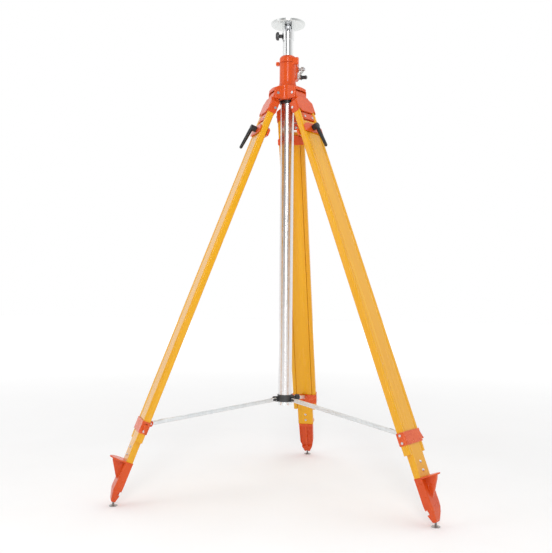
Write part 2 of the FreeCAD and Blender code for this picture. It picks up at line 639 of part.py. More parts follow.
# ---------------------------------------------------------------- spreader
def make_spreader():
    ring = rod("z", "hub_radius", "hub_bottom", "hub_bottom + hub_height")
    arms = []
    for azimuth in LEGS.values():
        arm = block("-hub_tongue / 2", "hub_tongue / 2", "-tongue_reach", "-tube_radius - 1",
                    "hub_bottom", "hub_bottom + tongue_rise")
        rivet = rod("x", "hub_rivet_radius", "-strut_width / 2 - 1.7", "strut_width / 2 + 1.7",
                    ("-strut_inner_radius", "strut_inner_height"))
        heads = [rod("x", "5", "strut_width / 2 + 0.4", "strut_width / 2 + 1.7",
                     ("-strut_inner_radius", "strut_inner_height")),
                 rod("x", "5", "-strut_width / 2 - 1.7", "-strut_width / 2 - 0.4",
                     ("-strut_inner_radius", "strut_inner_height"))]
        arms.append(turned(fuse(fillet(arm, 5.0, tongue_nose), rivet, *heads), azimuth))
    boss = taper("x", "10", "8.5", "hub_radius - 3", "hub_radius + 7", ("0", "hub_knob_height"))
    body = fuse(ring, *arms, turned(boss, KNOB_SIDE - 90))
    bore = rod("z", "tube_radius + hub_play", "hub_bottom - 1", "hub_bottom + hub_height + 1")
    screw_way = rod("x", "4.1", "tube_radius", "hub_radius + 20", ("0", "hub_knob_height"))
    piece(cut(body, bore, turned(screw_way, KNOB_SIDE - 90)), "spreader_hub")

    start = dim("hub_radius") + 7.4
    big = dim("hub_knob_radius")
    end = dim("hub_knob_reach") - start
    tip = dim("tube_radius") + 0.4 - start
    profile = [(0, tip), (4, tip), (4, 0), (6, 0), (6, 4), (big - 1, 6), (big, 8), (big, end - 3),
               (big - 3, end - 0.5), (big - 6, end), (0, end)]
    knob = revolved(profile, V(start, 0, dim("hub_knob_height")), V(1, 0, 0))
    built(knob, "hub_knob", about_z(KNOB_SIDE - 90))


def make_strut(name, azimuth):
    """A rounded bar from the hub's fork to the lower band, in the leg's upright plane."""
    inner = V(0, -dim("strut_inner_radius"), dim("strut_inner_height"))
    outer = strut_outer_end()
    run = outer - inner
    half = dim("strut_height") / 2
    width = dim("strut_width")
    length = run.Length
    bar = Part.makeBox(width, length, 2 * half, V(-width / 2, 0, -half))
    upper = [edge for edge in bar.Edges if abs(edge.tangentAt(0).y) > 0.9]
    bar = bar.makeFillet(3.5, upper)
    ends = [Part.makeCylinder(half, width, V(-width / 2, y, 0), V(1, 0, 0)) for y in (0, length)]
    ends = [end.makeFillet(1.5, [edge for edge in end.Edges if edge.Length > 20]) for end in ends]
    pin = Part.makeCylinder(dim("trunnion_radius"), dim("trunnion_length"),
                            V(-dim("trunnion_length") / 2, length, 0), V(1, 0, 0))
    notch = Part.makeBox(width / 2, 16, 5, V(-width / 4, length - 48, half - 3))
    gap = dim("hub_tongue") / 2 + 0.6
    slot = Part.makeBox(2 * gap, 26, 4 * half, V(-gap, -10, -2 * half))
    way = dim("hub_rivet_radius") + 1.8
    travel = 5.4
    reach = [Part.makeCylinder(way, 2 * width, V(-width, y, 0), V(1, 0, 0)) for y in (-travel, travel)]
    reach.append(Part.makeBox(2 * width, 2 * travel, 2 * way, V(-width, -travel, -way)))
    bar = bar.fuse(ends + [pin]).removeSplitter().cut([notch, slot] + reach)
    pitch = math.degrees(math.atan2(run.z, -run.y))
    aim = FreeCAD.Rotation(V(1, 0, 0), 180 - pitch)
    flip = FreeCAD.Rotation(V(0, 1, 0), 180)
    built(bar, "strut_" + name, about_z(azimuth) * FreeCAD.Placement(inner, aim * flip))


def strut_outer_end():
    """The strut's outer pivot in the leg's upright plane, before the leg is turned to its azimuth."""
    lean = FreeCAD.Rotation(V(1, 0, 0), -dim("leg_angle"))
    local = V(0, dim("strut_joint_depth"), dim("strut_joint_drop"))
    return V(0, -dim("hinge_radius"), dim("hinge_height")) + lean.multVec(local)


# ---------------------------------------------------------------- upper leg
def make_upper_leg(name, azimuth):
    place = leg_place(azimuth)
    half = "bracket_width / 2"
    shell = padded("XZ_Plane",
                   [("-knuckle_width / 2", "-14"), ("knuckle_width / 2", "-14"),
                    ("knuckle_width / 2", "shoulder"), (half, "shoulder - shoulder_slope"),
                    (half, "bracket_end"), ("-" + half, "bracket_end"),
                    ("-" + half, "shoulder - shoulder_slope"), ("-knuckle_width / 2", "shoulder")],
                   "bracket_depth", "5", bracket_corner)
    tongue = block("-knuckle_width / 2", "knuckle_width / 2", "-knuckle_radius", "knuckle_radius", "-20", "0")
    knuckle = rod("x", "knuckle_radius", "-knuckle_width / 2", "knuckle_width / 2")
    neck_relief = block("-60", "60", "knuckle_radius", "bracket_depth", "-22", "5")
    outer_relief = block("-60", "60", "-bracket_depth", "-knuckle_radius", "-22", "5")
    pin_way = rod("x", "pin_radius + 0.05", "-60", "60")
    tools = [neck_relief, outer_relief, pin_way]
    for side in (1, -1):
        centre = "%d * (leg_width - rail_width) / 2" % side
        left = centre + " - rail_width / 2"
        right = centre + " + rail_width / 2"
        tools.append(block(left, right, "-rail_depth / 2", "rail_depth / 2", "bracket_end - 1", "rail_top"))
        tools.append(rod("y", "arch_radius", "-bracket_depth", "bracket_depth", (centre, "bracket_end")))
        tools.append(rod("x", "2.6", "-60", "60", ("7", "-64")))
    middle = block("-plank_width / 2 + 3", "plank_width / 2 - 3",
                   "-plank_depth / 2 + 3", "plank_depth / 2 - 3",
                   "bracket_end - 1", "bracket_end + 24")
    piece(cut(fuse(shell, tongue, knuckle), middle, *tools), "leg_bracket_" + name, place)

    rails = []
    for side in (1, -1):
        centre = "%d * (leg_width - rail_width) / 2" % side
        left = centre + " - rail_width / 2"
        right = centre + " + rail_width / 2"
        rail = padded("XY_Plane",
                      [(left, "-rail_depth / 2"), (right, "-rail_depth / 2"),
                       (right, "rail_depth / 2"), (left, "rail_depth / 2")],
                      "rail_top - rail_end", "rail_round", along(V(0, 0, 1)))
        rail.setExpression("Placement.Base.z", expr("(rail_top + rail_end) / 2"))
        bolt_way = rod("x", "2.6", "-60", "60", ("7", "-64"))
        rivet_ways = [rod("x", "2.2", "-60", "60", ("0", height)) for height in band_rivet_heights()]
        rails.append(cut(rail, bolt_way, *rivet_ways))
    piece(group(*rails), "leg_rails_" + name, place)

    spacer = block("-plank_width / 2 - 0.2", "plank_width / 2 + 0.2", "-spacer_depth / 2", "spacer_depth / 2",
                   "spacer_end", "spacer_top")
    spacer_ways = [rod("y", "2.6", "-20", "20", (across, "spacer_end + 10")) for across in ("-21.5", "21.5")]
    piece(cut(spacer, *spacer_ways), "rail_spacer_" + name, place)

    screws = []
    for side in (1, -1):
        near = "%d * (bracket_width / 2 + 2.2)" % side
        deep = "%d * 36" % side
        face = "%d * bracket_width / 2" % side
        screws.append(round_screw("x", near, face, deep, ("7", "-64"), "4.6", "2.6"))
    for across in ("-21.5", "21.5"):
        outer = "-spacer_depth / 2"
        inner = "spacer_depth / 2"
        screws.append(fuse(rod("y", "2.6", outer, inner, (across, "spacer_end + 10")),
                           rod("y", "4.6", outer + " - 2.2", outer, (across, "spacer_end + 10")),
                           rod("y", "4.6", inner, inner + " + 2.2", (across, "spacer_end + 10"))))
    screws.extend(make_band(name, place))
    piece(group(*screws), "leg_screws_" + name, place)


def round_screw(axis, top, seat, end, centre, head_radius, shank_radius):
    """A short screw whose head stands proud of the face it is driven into."""
    head = rod(axis, head_radius, *ordered_pair(seat, top), centre)
    shank = rod(axis, shank_radius, *ordered_pair(end, seat), centre)
    return fuse(head, shank)


def ordered_pair(inner, outer):
    """Put two formulas on one side of zero in rising order."""
    if outer.startswith("-"):
        return outer, inner
    return inner, outer


def band_rivet_heights():
    return ("band_top - 9", "band_end + 9")


def make_band(name, place):
    """The sheet-metal band that holds the rails together, with the strut's lugs and a finger hook."""
    outer_x = "leg_width / 2 + band_wall"
    outer_y = "rail_depth / 2 + band_wall"
    sleeve = padded("XY_Plane",
                    [("-(" + outer_x + ")", "-(" + outer_y + ")"), (outer_x, "-(" + outer_y + ")"),
                     (outer_x, outer_y), ("-(" + outer_x + ")", outer_y)],
                    "band_top - band_end", "4", along(V(0, 0, 1)))
    sleeve.setExpression("Placement.Base.z", expr("(band_top + band_end) / 2"))
    hollow = padded("XY_Plane",
                    [("-leg_width / 2", "-rail_depth / 2"), ("leg_width / 2", "-rail_depth / 2"),
                     ("leg_width / 2", "rail_depth / 2"), ("-leg_width / 2", "rail_depth / 2")],
                    "band_top - band_end + 9", "2", along(V(0, 0, 1)))
    hollow.setExpression("Placement.Base.z", expr("(band_top + band_end) / 2"))
    lugs = []
    for side in (1, -1):
        near = "%d * (strut_width / 2 + 0.4)" % side
        far = "%d * (strut_width / 2 + 4.4)" % side
        low, high = ordered_pair(near, far)
        lug = block(low, high, outer_y + " - 1", "strut_joint_depth + 8", "strut_joint_drop - 10",
                    "strut_joint_drop + 10")
        lugs.append(fillet(lug, 6.0, lug_nose))
    pin_way = rod("x", "trunnion_radius + 0.05", "-20", "20", ("strut_joint_depth", "strut_joint_drop"))
    rivet_ways = [rod("x", "2.2", "-60", "60", ("0", height)) for height in band_rivet_heights()]
    doc.recompute()
    hook = built_solid(hook_shape())
    band = cut(fuse(sleeve, *lugs, hook), hollow, pin_way, *rivet_ways)
    piece(band, "leg_band_" + name, place)

    rivets = []
    for side, height in zip((-1, -1, 1), (*band_rivet_heights(), "band_end + 9")):
        seat = "%d * (leg_width / 2 + band_wall)" % side
        top = "%d * (leg_width / 2 + band_wall + 1.8)" % side
        end = "%d * (leg_width / 2 - 9)" % side
        rivets.append(round_screw("x", top, seat, end, ("0", height), "4.2", "2.2"))
    return rivets


def lug_nose(edge):
    return along(V(1, 0, 0))(edge) and edge.CenterOfMass.y > dim("strut_joint_depth") + 1


def tongue_nose(edge):
    return along(V(1, 0, 0))(edge) and edge.CenterOfMass.y < -dim("tongue_reach") + 1


def bracket_corner(edge):
    middle = edge.CenterOfMass
    wide = abs(middle.x) > dim("bracket_width") / 2 - 1
    return wide and (along(V(0, 0, 1))(edge) or along(V(0, 1, 0))(edge) and middle.z > dim("bracket_end") + 1)


def hook_shape():
    """A bent finger hook on one edge of the band."""
    edge_x = dim("leg_width") / 2 + dim("band_wall") - 0.6
    top = dim("band_top") - 9
    sheet = 2.6
    stations = ((edge_x, top, 9.0), (edge_x + 8, top - 1, 8.5), (edge_x + 30, top - 25, 2.2))
    wires = []
    for x, z, half in stations:
        corners = [V(x, -half, z), V(x, half, z), V(x - 1, half, z - sheet), V(x - 1, -half, z - sheet)]
        wires.append(Part.makePolygon(corners + corners[:1]))
    return Part.makeLoft(wires, True, True)


# ---------------------------------------------------------------- lower leg
def make_lower_leg(name, azimuth):
    place = leg_place(azimuth)
    plank = padded("XY_Plane",
                   [("-plank_width / 2", "-plank_depth / 2"), ("plank_width / 2", "-plank_depth / 2"),
                    ("plank_width / 2", "plank_depth / 2"), ("-plank_width / 2", "plank_depth / 2")],
                   "plank_top - plank_end", "1.5", along(V(0, 0, 1)))
    plank.setExpression("Placement.Base.z", expr("(plank_top + plank_end) / 2"))
    socket = block("-tongue_width / 2", "tongue_width / 2", "-tongue_depth / 2", "tongue_depth / 2",
                   "plank_end - 1", "plank_end + tongue_length")
    stud_way = rod("y", "stud_radius + 0.06", "-40", "40", ("0", "stud_height"))
    bolt_ways = [rod("y", "bolt_radius", "-40", "40", ("0", height)) for height in ("bolt_1", "bolt_2")]
    piece(cut(plank, socket, stud_way, *bolt_ways), "leg_plank_" + name, place)

    plates = []
    for side, depth in ((-1, "clamp_outer"), (1, "clamp_inner")):
        inner_face = "rail_depth / 2 + clamp_gap"
        plate = padded("XZ_Plane", clamp_outline(), depth, "3", along(V(0, 1, 0)))
        plate.setExpression("Placement.Base.y", expr("%d * (%s + %s / 2)" % (side, inner_face, depth)))
        low, high = ordered_pair("%d * plank_depth / 2" % side, "%d * (%s)" % (side, inner_face))
        pad = block("-plank_width / 2 + 2", "plank_width / 2 - 2", low, high,
                    "clamp_end + 4", "clamp_top - 4")
        way = rod("y", "stud_radius + 0.06", "-40", "40", ("0", "stud_height"))
        plates.append(cut(fuse(plate, pad), way))
    piece(group(*plates), "clamp_plates_" + name, place)

    built(lever_shape(), "clamp_lever_" + name, place)
    built(foot_shape(), "foot_casting_" + name, place)

    bolts = []
    for height in ("bolt_1", "bolt_2"):
        bolts.append(fuse(rod("y", "bolt_radius", "-plank_depth / 2", "plank_depth / 2", ("0", height)),
                          taper("y", "dome_radius", "2.5", "plank_depth / 2", "plank_depth / 2 + dome_height",
                                ("0", height)),
                          taper("y", "2.5", "dome_radius",
                                "-plank_depth / 2 - dome_height", "-plank_depth / 2",
                                ("0", height))))
    piece(group(*bolts), "foot_bolts_" + name, place)

    ball = V(0, -dim("pad_ring"), dim("ball_height"))
    disc = revolved([(0, 0), (dim("pad_radius") - 1, 0), (dim("pad_radius"), 1), (dim("pad_radius"), 2.2),
                     (dim("pad_stem") + 3, dim("pad_thickness") + 0.6),
                     (dim("pad_stem"), dim("pad_thickness") + 3),
                     (dim("pad_stem"), dim("ball_height")), (0, dim("ball_height"))])
    disc.translate(V(0, ball.y, 0))
    knob = Part.makeSphere(dim("ball_radius"), ball)
    built(disc.fuse(knob).removeSplitter(), "foot_pad_" + name, about_z(azimuth))


def clamp_outline():
    half = "clamp_width / 2"
    return [("-" + half, "clamp_end"), (half, "clamp_end"), (half, "clamp_top - clamp_corner"),
            ("clamp_width * 0.27", "clamp_top"), ("-clamp_width * 0.27", "clamp_top"),
            ("-" + half, "clamp_top - clamp_corner")]


def lever_shape():
    """The clamp lever with its stud: a round hub and a tapered handle that lies down the leg."""
    height = dim("stud_height")
    face = -(dim("rail_depth") / 2 + dim("clamp_gap") + dim("clamp_outer") + 0.4)
    hub_top = face - dim("lever_hub")
    radius = dim("lever_hub_radius")
    outward = V(0, -1, 0)
    hub = Part.makeCylinder(radius, dim("lever_hub"), V(0, face, height), outward)
    hub = hub.makeFillet(2.0, [edge for edge in hub.Edges if edge.CenterOfMass.y < hub_top + 1])
    inner_end = dim("rail_depth") / 2 + dim("clamp_gap") + dim("clamp_inner")
    stud = Part.makeCylinder(dim("stud_radius"), inner_end + 9 - hub_top - 4,
                             V(0, hub_top + 4, height), V(0, 1, 0))
    nut = Part.makeCylinder(8.5, 6.5, V(0, inner_end + 0.4, height), V(0, 1, 0))
    root = 7.8
    elbow_radius = 7.4
    tip_radius = 5.8
    start = V(0, hub_top + root, height)
    elbow = V(0, hub_top + root - dim("elbow_out"), height - dim("elbow_drop"))
    end = V(0, elbow.y - dim("lever_lean"), height - dim("lever_drop"))
    neck = Part.makeCone(root, elbow_radius, (elbow - start).Length, start, elbow - start)
    handle = Part.makeCone(elbow_radius, tip_radius, (end - elbow).Length, elbow, end - elbow)
    knee = Part.makeSphere(elbow_radius, elbow)
    tip = Part.makeSphere(tip_radius, end)
    return hub.fuse([stud, nut, neck, knee, handle, tip]).removeSplitter()


def foot_shape():
    """The pointed foot: a tapered ribbed boot with a pedal plate and a tongue inside the plank."""
    top = dim("plank_end")
    low = dim("foot_end")
    half = dim("foot_width") / 2
    side_view = [V(0, -13.5, top), V(0, -15.5, top - 69), V(0, -17, top - 103), V(0, -8.5, top - 138),
                 V(0, -4, low), V(0, 9, low + 1), V(0, 14, top - 112), V(0, 14, top)]
    boot = Part.Face(Part.makePolygon(side_view + side_view[:1])).extrude(V(2 * half, 0, 0))
    boot.translate(V(-half, 0, 0))
    front_view = [V(-half, -40, top), V(half, -40, top),
                  V(half - 2, -40, top - 88), V(half - 8, -40, top - 120),
                  V(11.5, -40, low), V(-11.5, -40, low),
                  V(-half + 8, -40, top - 120), V(-half + 2, -40, top - 88)]
    frame = Part.Face(Part.makePolygon(front_view + front_view[:1])).extrude(V(0, 80, 0))
    boot = boot.common(frame)
    soften = [edge for edge in boot.Edges if abs(edge.CenterOfMass.x) > 9 and edge.CenterOfMass.z < top - 2
              and edge.CenterOfMass.z > low + 2 and edge.CenterOfMass.y < 0]
    boot = boot.makeFillet(4.0, soften)
    for side in (1, -1):
        flute = Part.makeBox(half - 9, 14, 105, V(3.5 if side > 0 else -half + 5.5, 4, top - 118))
        corners = [edge for edge in flute.Edges if abs(edge.tangentAt(0).x) < 0.1 and edge.CenterOfMass.y < 5]
        boot = boot.cut(flute.makeFillet(3.0, corners))
    web_view = [V(0, -10, top - 2), V(0, -55, top - 6), V(0, -52, top - 14),
                V(0, -18, top - 67), V(0, -10, top - 74)]
    web = Part.Face(Part.makePolygon(web_view + web_view[:1])).extrude(V(11, 0, 0))
    web.translate(V(-5.5, 0, 0))
    front = dim("pedal_reach")
    thick = dim("pedal_thickness")
    arc_1 = Part.Arc(V(half + 1, -12, 0), V(half - 5, -front * 0.72, 0), V(0, -front, 0)).toShape()
    arc_2 = Part.Arc(V(0, -front, 0), V(-half + 5, -front * 0.72, 0), V(-half - 1, -12, 0)).toShape()
    sides = [V(-half - 1, -12, 0), V(-half, 15, 0), V(half, 15, 0), V(half + 1, -12, 0)]
    lines = [Part.makeLine(sides[i], sides[i + 1]) for i in range(3)]
    plate = Part.Face(Part.Wire([arc_1, arc_2] + lines)).extrude(V(0, 0, -thick))
    plate = plate.makeFillet(1.6, plate.Edges)
    plate.translate(V(0, 0, top - 0.2))
    tongue_low = top - 4
    tongue = Part.makeBox(dim("tongue_width") - 0.4, dim("tongue_depth") - 0.2, dim("tongue_length") + 3.5,
                          V(-dim("tongue_width") / 2 + 0.2, -dim("tongue_depth") / 2 + 0.1, tongue_low))
    solid = boot.fuse([web, plate, tongue]).removeSplitter()
    for height in (dim("bolt_1"), dim("bolt_2")):
        solid = solid.cut(Part.makeCylinder(dim("bolt_radius"), 40, V(0, -20, height), V(0, 1, 0)))
    lean = math.radians(dim("leg_angle"))
    out = dim("pad_ring") - dim("hinge_radius")
    down = dim("ball_height") - dim("hinge_height")
    ball = V(0, -(out * math.cos(lean) + down * math.sin(lean)),
             -(out * math.sin(lean) - down * math.cos(lean)))
    socket = Part.makeSphere(dim("ball_radius") + dim("ball_play"), ball)
    mouth_aim = V(0, math.sin(lean), -math.cos(lean))
    mouth = Part.makeCone(dim("pad_stem") + 1.2, dim("pad_stem") + 5.5, 16, ball, mouth_aim)
    solid = solid.cut(socket).cut(mouth)
    return Part.Solid(solid.Solids[0]) if solid.ShapeType == "Compound" else solid


# ---------------------------------------------------------------- assembly
make_head()
make_housing()
make_column()
make_crank()
make_instrument_head()
make_spreader()
for leg_name, leg_azimuth in LEGS.items():
    make_upper_leg(leg_name, leg_azimuth)
    make_lower_leg(leg_name, leg_azimuth)
    make_strut(leg_name, leg_azimuth)
doc.recompute()

for obj in doc.Objects:
    if "Invalid" in obj.State or "Error" in obj.State:
        raise RuntimeError("%s (%s) did not recompute" % (obj.Name, obj.Label))
os.makedirs("parts", exist_ok=True)
for label, obj in pieces.items():
    shape = obj.Shape
    if shape.isNull() or not shape.isValid():
        raise RuntimeError("%s has no valid shape" % label)
for label, obj in pieces.items():
    obj.Shape.exportStep(os.path.join("parts", label + ".step"))
    print(label, len(obj.Shape.Solids), round(obj.Shape.Volume / 1000, 2))
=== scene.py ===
"""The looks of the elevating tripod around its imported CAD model."""

import math

import bpy
from mathutils import Matrix, Vector


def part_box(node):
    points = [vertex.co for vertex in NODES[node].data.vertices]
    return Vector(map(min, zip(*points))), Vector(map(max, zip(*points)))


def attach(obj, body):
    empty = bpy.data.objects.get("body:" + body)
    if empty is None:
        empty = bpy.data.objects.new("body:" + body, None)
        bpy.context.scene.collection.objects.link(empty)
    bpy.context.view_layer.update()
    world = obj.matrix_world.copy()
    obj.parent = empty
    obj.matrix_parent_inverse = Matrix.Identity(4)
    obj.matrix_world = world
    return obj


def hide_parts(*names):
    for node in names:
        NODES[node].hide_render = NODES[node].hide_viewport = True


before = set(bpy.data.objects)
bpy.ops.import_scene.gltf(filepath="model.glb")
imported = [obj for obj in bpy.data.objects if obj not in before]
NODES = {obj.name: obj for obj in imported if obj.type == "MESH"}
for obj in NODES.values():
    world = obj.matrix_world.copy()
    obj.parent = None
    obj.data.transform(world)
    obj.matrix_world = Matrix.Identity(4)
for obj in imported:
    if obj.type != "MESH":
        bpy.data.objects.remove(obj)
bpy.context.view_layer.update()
LEGS = {"left": -60.0, "right": 60.0, "rear": 180.0}
LEG_LEAN = math.radians(21.72)
WELD_DISTANCE = 1e-5
SHARP_EDGE = math.radians(32)


# ---------------------------------------------------------------- node helpers
class Graph:
    """A material's node tree with short ways to add what the finishes share."""

    def __init__(self, name):
        self.material = bpy.data.materials.new(name)
        self.material.use_nodes = True
        self.tree = self.material.node_tree
        self.shader = self.tree.nodes["Principled BSDF"]
        self.place = self.add("ShaderNodeTexCoord").outputs["Object"]

    def add(self, kind, **settings):
        node = self.tree.nodes.new(kind)
        for key, value in settings.items():
            setattr(node, key, value)
        return node

    def link(self, source, target):
        self.tree.links.new(source, target)

    def set(self, **sockets):
        for key, value in sockets.items():
            self.shader.inputs[key.replace("_", " ")].default_value = value

    def scaled(self, scale, turn=(0.0, 0.0, 0.0), source=None):
        """The object's own coordinates, turned and stretched."""
        node = self.add("ShaderNodeMapping")
        node.inputs["Rotation"].default_value = turn
        node.inputs["Scale"].default_value = scale
        self.link(source or self.place, node.inputs["Vector"])
        return node.outputs["Vector"]

    def noise(self, scale, detail=3.0, rough=0.55, vector=None):
        node = self.add("ShaderNodeTexNoise")
        node.inputs["Scale"].default_value = scale
        node.inputs["Detail"].default_value = detail
        node.inputs["Roughness"].default_value = rough
        self.link(vector or self.place, node.inputs["Vector"])
        return node.outputs["Fac"]

    def ramp(self, source, stops):
        node = self.add("ShaderNodeValToRGB")
        elements = node.color_ramp.elements
        while len(elements) < len(stops):
            elements.new(0.5)
        for element, (at, colour) in zip(elements, stops):
            element.position = at
            element.color = (*colour, 1.0)
        self.link(source, node.inputs["Fac"])
        return node.outputs["Color"]

    def range(self, source, low, high, at=(0.3, 0.7)):
        node = self.add("ShaderNodeMapRange")
        node.inputs["From Min"].default_value = at[0]
        node.inputs["From Max"].default_value = at[1]
        node.inputs["To Min"].default_value = low
        node.inputs["To Max"].default_value = high
        self.link(source, node.inputs["Value"])
        return node.outputs["Result"]

    def math(self, operation, first, second):
        node = self.add("ShaderNodeMath", operation=operation)
        for socket, value in zip(node.inputs, (first, second)):
            if isinstance(value, (int, float)):
                socket.default_value = value
            else:
                self.link(value, socket)
        return node.outputs["Value"]

    def mix(self, factor, first, second, blend="MIX"):
        node = self.add("ShaderNodeMix", data_type="RGBA", blend_type=blend)
        for name, value in (("Factor", factor), ("A", first), ("B", second)):
            index = {"Factor": 0, "A": 6, "B": 7}[name]
            if isinstance(value, (int, float)):
                node.inputs[index].default_value = value
            elif isinstance(value, tuple):
                node.inputs[index].default_value = (*value, 1.0)
            else:
                self.link(value, node.inputs[index])
        return node.outputs[2]

    def edges(self, spread=0.012):
        """1 on outer edges and corners, 0 on the flat, from the mesh's own curvature."""
        point = self.add("ShaderNodeNewGeometry").outputs["Pointiness"]
        return self.range(point, 0.0, 1.0, (0.5 + spread, 0.5 + 5 * spread))

    def bump(self, height, strength, distance, after=None):
        node = self.add("ShaderNodeBump")
        node.inputs["Strength"].default_value = strength
        node.inputs["Distance"].default_value = distance
        self.link(height, node.inputs["Height"])
        if after is not None:
            self.link(after, node.inputs["Normal"])
        return node.outputs["Normal"]

    def out(self, colour=None, roughness=None, normal=None):
        for socket, value in (("Base Color", colour), ("Roughness", roughness), ("Normal", normal)):
            if value is not None:
                self.link(value, self.shader.inputs[socket])
        return self.material


# ---------------------------------------------------------------- finishes
def orange_coating():
    """Gloss powder coat over cast aluminium: faint orange peel, uneven tone, dull rubs on the corners."""
    g = Graph("orange_coating")
    tone = g.ramp(g.noise(14, 4), [(0.30, (0.66, 0.064, 0.003)), (0.55, (0.72, 0.082, 0.004)),
                                   (0.75, (0.77, 0.102, 0.006))])
    dust = g.range(g.noise(70, 5, 0.7), 0.0, 0.10, (0.54, 0.74))
    dusty = g.mix(dust, tone, (0.88, 0.25, 0.08))
    worn = g.math("MULTIPLY", g.edges(), g.range(g.noise(160, 4, 0.65), 0.0, 1.0, (0.50, 0.64)))
    colour = g.mix(g.math("MULTIPLY", worn, 0.55), dusty, (0.92, 0.26, 0.10))
    gloss = g.math("ADD", g.range(g.noise(30, 4), 0.22, 0.36), g.math("MULTIPLY", worn, 0.2))
    peel = g.bump(g.noise(520, 2, 0.5), 0.10, 0.0006)
    cast = g.bump(g.noise(90, 3, 0.5), 0.14, 0.0012, peel)
    g.set(Coat_Weight=0.15, Coat_Roughness=0.12, Specular_IOR_Level=0.4)
    return g.out(colour, gloss, cast)


def yellow_coating(name, azimuth):
    """Smooth yellow coating over a long-grained leg; the grain runs down the leg."""
    g = Graph("yellow_coating_" + name)
    turned = g.scaled((1, 1, 1), (0, 0, -math.radians(azimuth)))
    leaned = g.scaled((1, 1, 1), (LEG_LEAN, 0, 0), turned)
    along = g.scaled((1.0, 1.0, 0.03), source=leaned)
    grain = g.noise(420, 5, 0.6, along)
    wide = g.noise(38, 3, 0.5, along)
    tone = g.ramp(wide, [(0.25, (0.79, 0.36, 0.003)), (0.50, (0.83, 0.40, 0.004)),
                         (0.75, (0.86, 0.44, 0.005))])
    lined = g.mix(g.range(grain, 0.0, 0.22, (0.50, 0.68)), tone, (0.76, 0.34, 0.005))
    scuff = g.noise(24, 6, 0.75, g.scaled((1.0, 1.0, 0.25), source=leaned))
    colour = g.mix(g.range(scuff, 0.0, 0.30, (0.60, 0.78)), lined, (0.80, 0.42, 0.06))
    rough = g.math("ADD", g.range(wide, 0.20, 0.30), g.range(scuff, 0.0, 0.25, (0.55, 0.75)))
    normal = g.bump(grain, 0.10, 0.0005, g.bump(g.noise(260, 2), 0.05, 0.0004))
    g.set(Coat_Weight=0.20, Coat_Roughness=0.10, Specular_IOR_Level=0.4)
    return g.out(colour, rough, normal)


def drawn_metal(name, colour, rough, turn=(0.0, 0.0, 0.0), streak=0.02, deep=0.12):
    """Extruded or drawn metal: fine lines along the piece, faint handling marks."""
    g = Graph(name)
    along = g.scaled((1.0, 1.0, streak), turn)
    lines = g.noise(900, 4, 0.6, along)
    bands = g.noise(120, 3, 0.5, along)
    marks = g.noise(9, 6, 0.7)
    dark = tuple(c * 0.90 for c in colour)
    tone = g.mix(g.range(bands, 0.0, 1.0), dark, colour)
    smudged = g.mix(g.range(marks, 0.0, 0.30, (0.58, 0.78)), tone, tuple(c * 0.84 for c in colour))
    roughness = g.math("ADD", g.range(lines, rough - 0.05, rough + 0.07),
                       g.range(marks, 0.0, 0.10, (0.5, 0.8)))
    g.set(Metallic=1.0)
    return g.out(smudged, roughness, g.bump(lines, deep, 0.0004))


def turned_metal(name, colour, rough):
    """Faced on a lathe: fine rings round the column's axis."""
    g = Graph(name)
    split = g.add("ShaderNodeSeparateXYZ")
    g.link(g.place, split.inputs["Vector"])
    square = g.math("ADD", g.math("MULTIPLY", split.outputs["X"], split.outputs["X"]),
                    g.math("MULTIPLY", split.outputs["Y"], split.outputs["Y"]))
    radius = g.math("POWER", square, 0.5)
    join = g.add("ShaderNodeCombineXYZ")
    g.link(radius, join.inputs["X"])
    rings = g.noise(1500, 4, 0.6, join.outputs["Vector"])
    broad = g.noise(160, 3, 0.5, join.outputs["Vector"])
    tone = g.mix(g.range(broad, 0.0, 1.0), tuple(c * 0.84 for c in colour), colour)
    marks = g.noise(26, 6, 0.7)
    marked = g.mix(g.range(marks, 0.0, 0.25, (0.60, 0.78)), tone, tuple(c * 0.8 for c in colour))
    g.set(Metallic=1.0)
    return g.out(marked, g.range(rings, rough - 0.05, rough + 0.08), g.bump(rings, 0.18, 0.0003))


def plated_steel(name, colour, rough):
    """Zinc-plated or bright steel, with painted shade darkening the hollows."""
    g = Graph(name)
    fine = g.noise(700, 4, 0.6)
    cloud = g.noise(110, 4, 0.6)
    tone = g.mix(g.range(cloud, 0.0, 1.0), tuple(c * 0.78 for c in colour), colour)
    point = g.add("ShaderNodeNewGeometry").outputs["Pointiness"]
    # painted shade: the concave hollows, found from the mesh's curvature, are darkened towards near-black
    painted_hollow_shade = g.range(point, 0.6, 0.0, (0.44, 0.50))
    g.set(Metallic=1.0)
    return g.out(g.mix(painted_hollow_shade, tone, (0.10, 0.095, 0.09)), g.range(fine, rough - 0.06, rough + 0.10),
                 g.bump(fine, 0.10, 0.0003))


def moulded_black(name, rough):
    """Moulded black nylon: fine sparked texture, greyed where hands rub it."""
    g = Graph(name)
    grain = g.noise(1300, 3, 0.6)
    cloud = g.noise(60, 4, 0.6)
    tone = g.ramp(cloud, [(0.3, (0.012, 0.013, 0.014)), (0.7, (0.022, 0.023, 0.025))])
    rubbed = g.mix(g.math("MULTIPLY", g.edges(), g.range(cloud, 0.2, 0.7)), tone, (0.085, 0.087, 0.09))
    g.set(Specular_IOR_Level=0.5)
    return g.out(rubbed, g.range(cloud, rough - 0.06, rough + 0.08), g.bump(grain, 0.22, 0.0004))


ORANGE = orange_coating()
TUBE = drawn_metal("satin_tube", (0.84, 0.82, 0.82), 0.26, deep=0.06)
COLUMN = drawn_metal("bright_column", (0.90, 0.91, 0.91), 0.22, deep=0.04)
PLATE = turned_metal("turned_plate", (0.84, 0.86, 0.85), 0.30)
STEEL = plated_steel("plated_steel", (0.72, 0.73, 0.76), 0.24)
DULL_STEEL = plated_steel("cast_steel", (0.50, 0.50, 0.48), 0.42)
BRONZE = plated_steel("bronze", (0.55, 0.33, 0.14), 0.35)
BLACK = moulded_black("moulded_black", 0.36)
YELLOW = {name: yellow_coating(name, azimuth) for name, azimuth in LEGS.items()}


